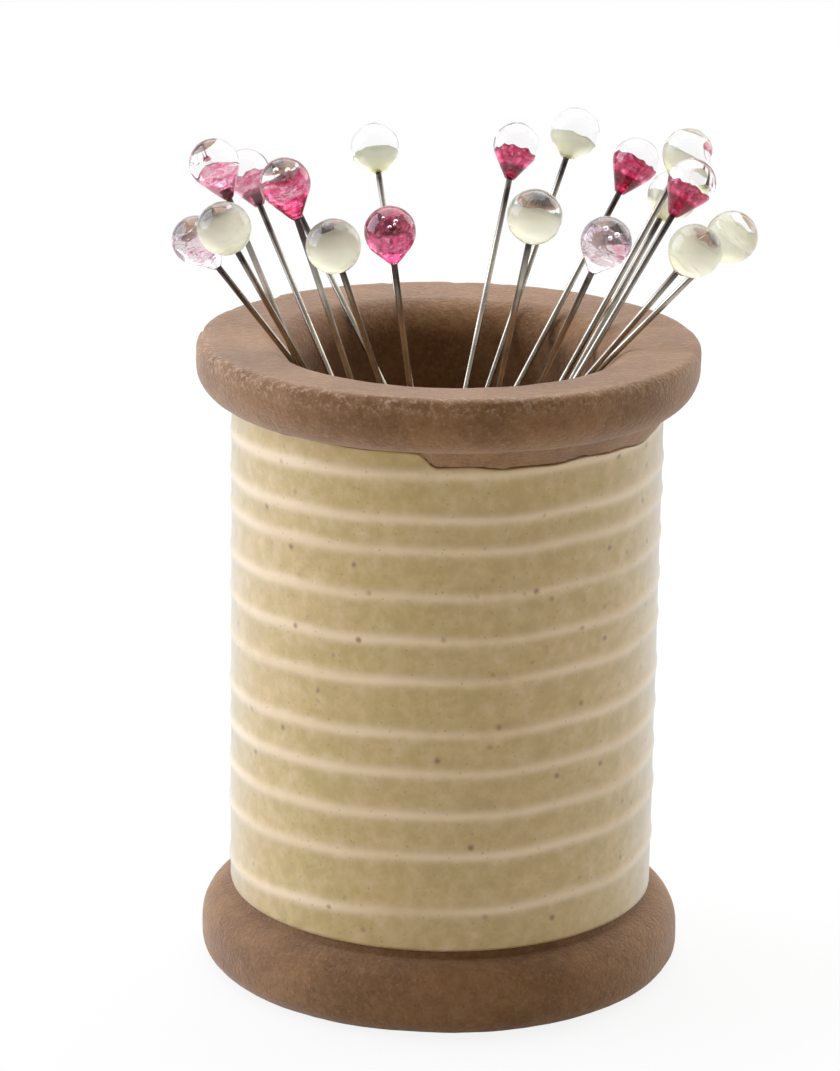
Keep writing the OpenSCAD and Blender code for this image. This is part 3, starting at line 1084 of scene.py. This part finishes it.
class PINBOWL_OT_stage(bpy.types.Operator):
    """Sets the white floor, the soft lamps, the white surroundings and the photograph's camera"""

    bl_idname = "pinbowl.stage"
    bl_label = "Stage"

    def execute(self, context):
        self.floor()
        self.world(context.scene)
        for lamp in LAMPS:
            self.lamp(*lamp)
        self.camera(context.scene)
        context.scene.view_settings.view_transform = "Standard"
        return {"FINISHED"}

    def floor(self):
        """A white floor that shows the bowl's shadow"""
        deselect_all()
        bpy.ops.mesh.primitive_plane_add(size=FLOOR_SIDE, location=(0, 0, 0))
        floor = bpy.context.object
        floor.name = "floor"
        material = bpy.data.materials.new("white_floor")
        material.use_nodes = True
        tree = material.node_tree
        tree.nodes.clear()
        paint = tree.nodes.new("ShaderNodeBsdfDiffuse")
        paint.inputs["Color"].default_value = (0.84, 0.84, 0.84, 1)
        glow = tree.nodes.new("ShaderNodeEmission")
        glow.inputs["Color"].default_value = (1, 1, 1, 1)
        blend = tree.nodes.new("ShaderNodeMixShader")
        coordinates = tree.nodes.new("ShaderNodeTexCoord")
        away = tree.nodes.new("ShaderNodeVectorMath")
        away.operation = "LENGTH"
        tree.links.new(coordinates.outputs["Object"], away.inputs[0])
        share = ranged(tree, away.outputs["Value"], SHADOW_REACH, WHITE_REACH, FLOOR_WHITE, 1)
        tree.links.new(sums(tree, "MULTIPLY", self.seen_directly(tree), share), blend.inputs["Fac"])
        tree.links.new(paint.outputs["BSDF"], blend.inputs[1])
        tree.links.new(glow.outputs["Emission"], blend.inputs[2])
        end = tree.nodes.new("ShaderNodeOutputMaterial")
        tree.links.new(blend.outputs["Shader"], end.inputs["Surface"])
        floor.data.materials.append(material)

    def seen_directly(self, tree):
        """1 for what the camera sees directly, in a mirror or through glass"""
        path = tree.nodes.new("ShaderNodeLightPath")
        seen = sums(tree, "MAXIMUM", path.outputs["Is Camera Ray"], path.outputs["Is Glossy Ray"])
        return sums(tree, "MAXIMUM", seen, path.outputs["Is Transmission Ray"])

    def world(self, scene):
        """White where it is seen; as light, dimmer from the front and the right, as beside a window"""
        world = bpy.data.worlds.new("white_room")
        scene.world = world
        world.use_nodes = True
        tree = world.node_tree
        tree.nodes.clear()
        coordinates = tree.nodes.new("ShaderNodeTexCoord")
        split = tree.nodes.new("ShaderNodeSeparateXYZ")
        tree.links.new(coordinates.outputs["Generated"], split.inputs["Vector"])
        side = split.outputs["Y"]
        towards_left = sums(tree, "SUBTRACT", side, sums(tree, "MULTIPLY", split.outputs["X"], 0.35))
        path = tree.nodes.new("ShaderNodeLightPath")
        dim, bright = (0.17, 0.145, 0.11, 1), (0.57, 0.58, 0.61, 1)
        lit = mixed(tree, ranged(tree, towards_left, -0.7, 0.5), dim, bright)
        mirrored = mixed(tree, ranged(tree, side, -0.75, -0.2), (0.28, 0.27, 0.25, 1), (1, 1, 1, 1))
        bent = sums(tree, "MAXIMUM", path.outputs["Is Glossy Ray"], path.outputs["Is Transmission Ray"])
        colour = mixed(tree, bent, lit, mirrored)
        through = sums(tree, "MULTIPLY", path.outputs["Is Transmission Ray"], 0.6)
        white = sums(tree, "MAXIMUM", path.outputs["Is Camera Ray"], through)
        colour = mixed(tree, white, colour, (1, 1, 1, 1))
        back = tree.nodes.new("ShaderNodeBackground")
        tree.links.new(colour, back.inputs["Color"])
        end = tree.nodes.new("ShaderNodeOutputWorld")
        tree.links.new(back.outputs["Background"], end.inputs["Surface"])

    def lamp(self, name, place, side, brightness, colour):
        """A square soft lamp of a given side, aimed at the bowl; brightness is how white its face is"""
        light = bpy.data.lights.new(name, "AREA")
        light.size = side
        light.energy = brightness * math.pi * side**2
        light.color = colour
        lamp = bpy.data.objects.new(name, light)
        bpy.context.scene.collection.objects.link(lamp)
        lamp.location = place
        aim = Vector((0, 0, 0.04)) - Vector(place)
        lamp.rotation_euler = aim.to_track_quat("-Z", "Y").to_euler()
        lamp.visible_camera = False

    def camera(self, scene):
        """The photograph's camera: below the lens axis by its pitch, and turned a little on that axis"""
        lens = bpy.data.cameras.new("photo_camera")
        lens.sensor_width = 36
        lens.lens = FOCAL_PIXELS * lens.sensor_width / max(PHOTO_WIDTH, PHOTO_HEIGHT)
        lens.clip_start = 0.01
        lens.clip_end = 20
        camera = bpy.data.objects.new("photo_camera", lens)
        scene.collection.objects.link(camera)
        camera.location = CAMERA_PLACE
        tilt = Matrix.Rotation(math.radians(90) - CAMERA_PITCH, 3, "X")
        roll = Matrix.Rotation(CAMERA_ROLL, 3, "Z")
        camera.rotation_euler = (tilt @ roll).to_euler()
        scene.camera = camera


class PINBOWL_PT_panel(bpy.types.Panel):
    """Lists the bowl's pieces, sizes and colours"""

    bl_idname = "PINBOWL_PT_panel"
    bl_label = "Magnetic Pin Bowl"
    bl_space_type = "VIEW_3D"
    bl_region_type = "UI"
    bl_category = "Pin Bowl"

    def draw(self, context):
        layout = self.layout
        for operator in OPERATORS:
            layout.operator(operator.bl_idname)
        for group in (context.scene.pin_bowl_sizes, context.scene.pin_bowl_colours):
            box = layout.box()
            for name in group.__annotations__:
                box.prop(group, name)


OPERATORS = (
    PINBOWL_OT_stage,
    PINBOWL_OT_spool,
    PINBOWL_OT_glaze,
    PINBOWL_OT_magnet,
    PINBOWL_OT_shafts,
    PINBOWL_OT_cream_heads,
    PINBOWL_OT_rose_heads,
)
CLASSES = (PinBowlSizes, PinBowlColours, *OPERATORS, PINBOWL_PT_panel)


def register():
    for cls in CLASSES:
        bpy.utils.register_class(cls)
    bpy.types.Scene.pin_bowl_sizes = bpy.props.PointerProperty(type=PinBowlSizes)
    bpy.types.Scene.pin_bowl_colours = bpy.props.PointerProperty(type=PinBowlColours)


def unregister():
    del bpy.types.Scene.pin_bowl_colours
    del bpy.types.Scene.pin_bowl_sizes
    for cls in reversed(CLASSES):
        bpy.utils.unregister_class(cls)


def main():
    register()
    bpy.ops.pinbowl.stage()
    bpy.ops.pinbowl.spool()
    bpy.ops.pinbowl.glaze()
    bpy.ops.pinbowl.magnet()
    bpy.ops.pinbowl.shafts()
    bpy.ops.pinbowl.cream_heads()
    bpy.ops.pinbowl.rose_heads()


if __name__ == "__main__":
    main()
